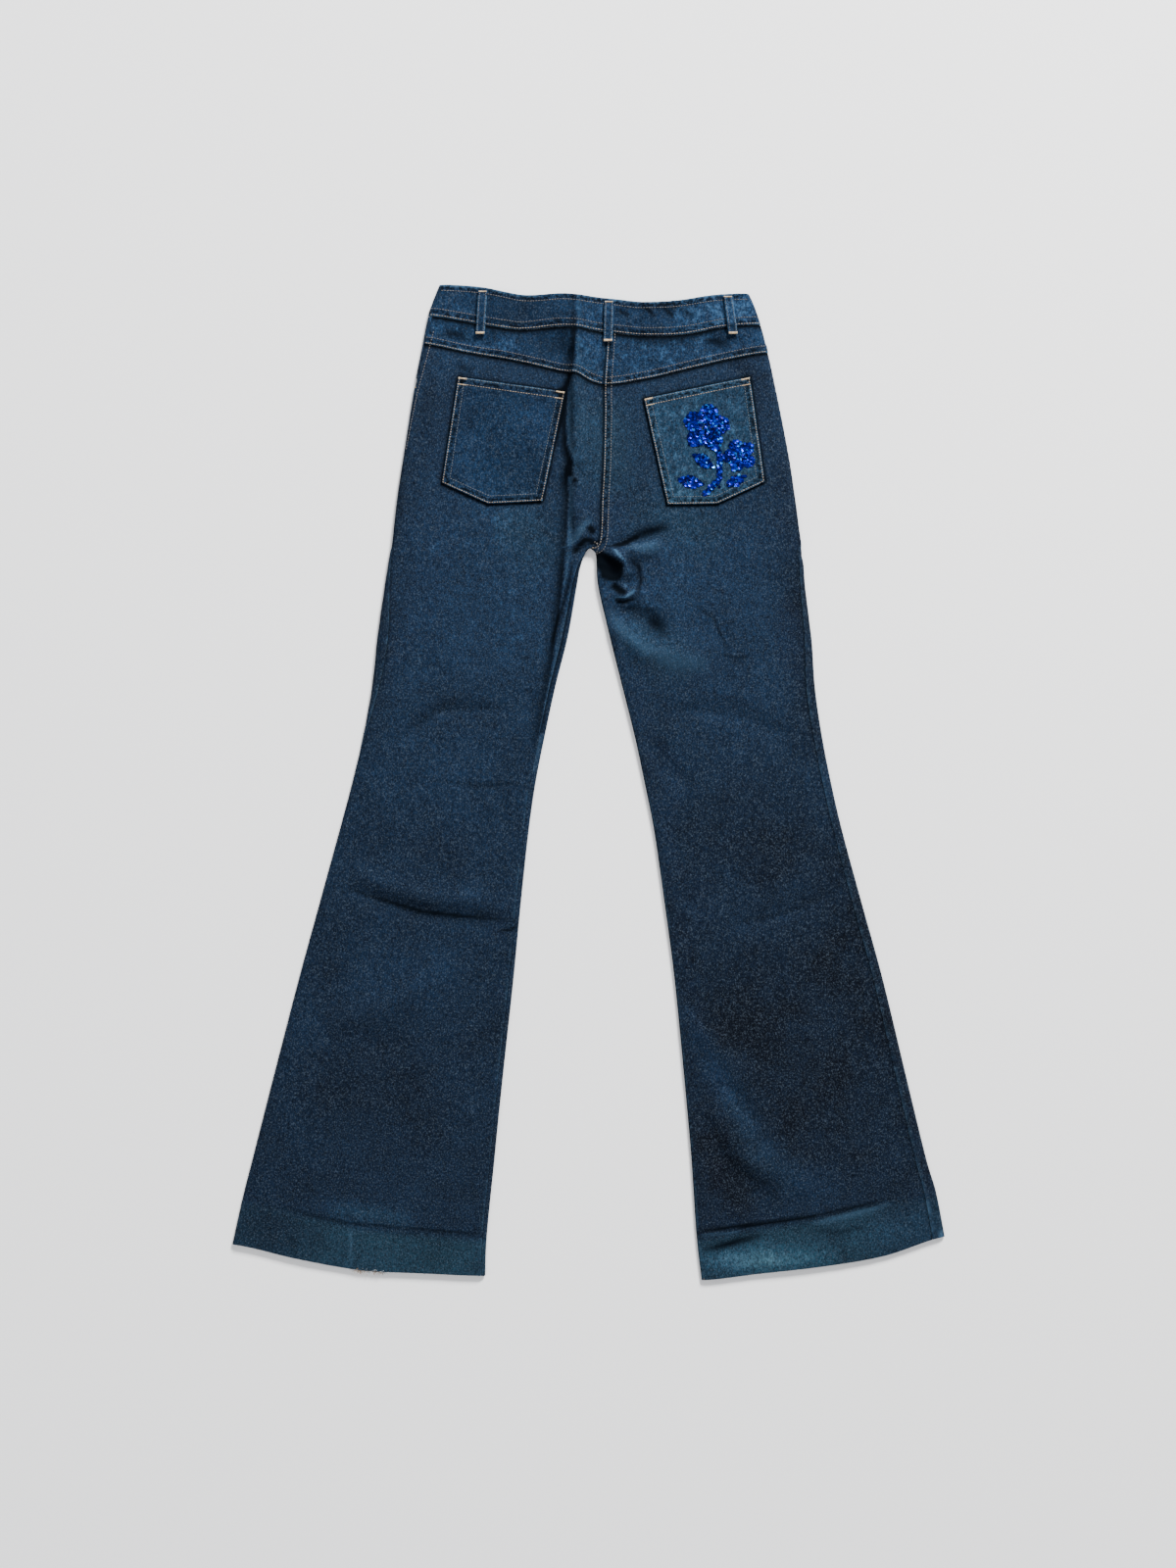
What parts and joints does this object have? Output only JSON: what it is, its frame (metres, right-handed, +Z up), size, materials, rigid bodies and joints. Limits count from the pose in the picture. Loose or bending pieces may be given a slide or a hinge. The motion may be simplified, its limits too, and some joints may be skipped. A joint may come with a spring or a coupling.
{
  "type": "flared jeans",
  "caption": "Dark denim flared jeans laid flat face down, with yoke, patch pockets, belt loops and let-down frayed hems; a garment for scenes and folding or display layouts.",
  "frame": {"origin": "centre of the footprint on the surface that the jeans lie on", "axes": "+Y towards the waistband, +X towards the wearer's right leg, +Z up, away from the surface"},
  "size_m": [0.8145, 1.139, 0.0154],
  "materials": {
    "denim_upper": "matt",
    "denim_leg": "matt",
    "zip_tape": "matt",
    "brass": "antique satin",
    "thread": "matt",
    "bartack": "matt",
    "sequin": "gloss",
    "fray": "matt"
  },
  "bodies": {
    "root": {"back_yoke_left": "denim_upper", "back_yoke_right": "denim_upper", "front_pocket_facing_left": "denim_upper", "front_pocket_facing_right": "denim_upper", "waistband": "denim_upper", "back_pocket_left": "denim_upper", "back_pocket_right": "denim_upper", "belt_loop_back_left": "denim_upper", "belt_loop_back_centre": "denim_upper", "belt_loop_back_right": "denim_upper", "belt_loop_front_left": "denim_upper", "belt_loop_front_right": "denim_upper", "fly_shield": "denim_upper", "back_leg_left": "denim_leg", "back_leg_right": "denim_leg", "front_leg_left": "denim_leg", "front_leg_right": "denim_leg", "zip_tape": "zip_tape", "waist_button": "brass", "zip_slider": "brass"}
  },
  "joints": []
}
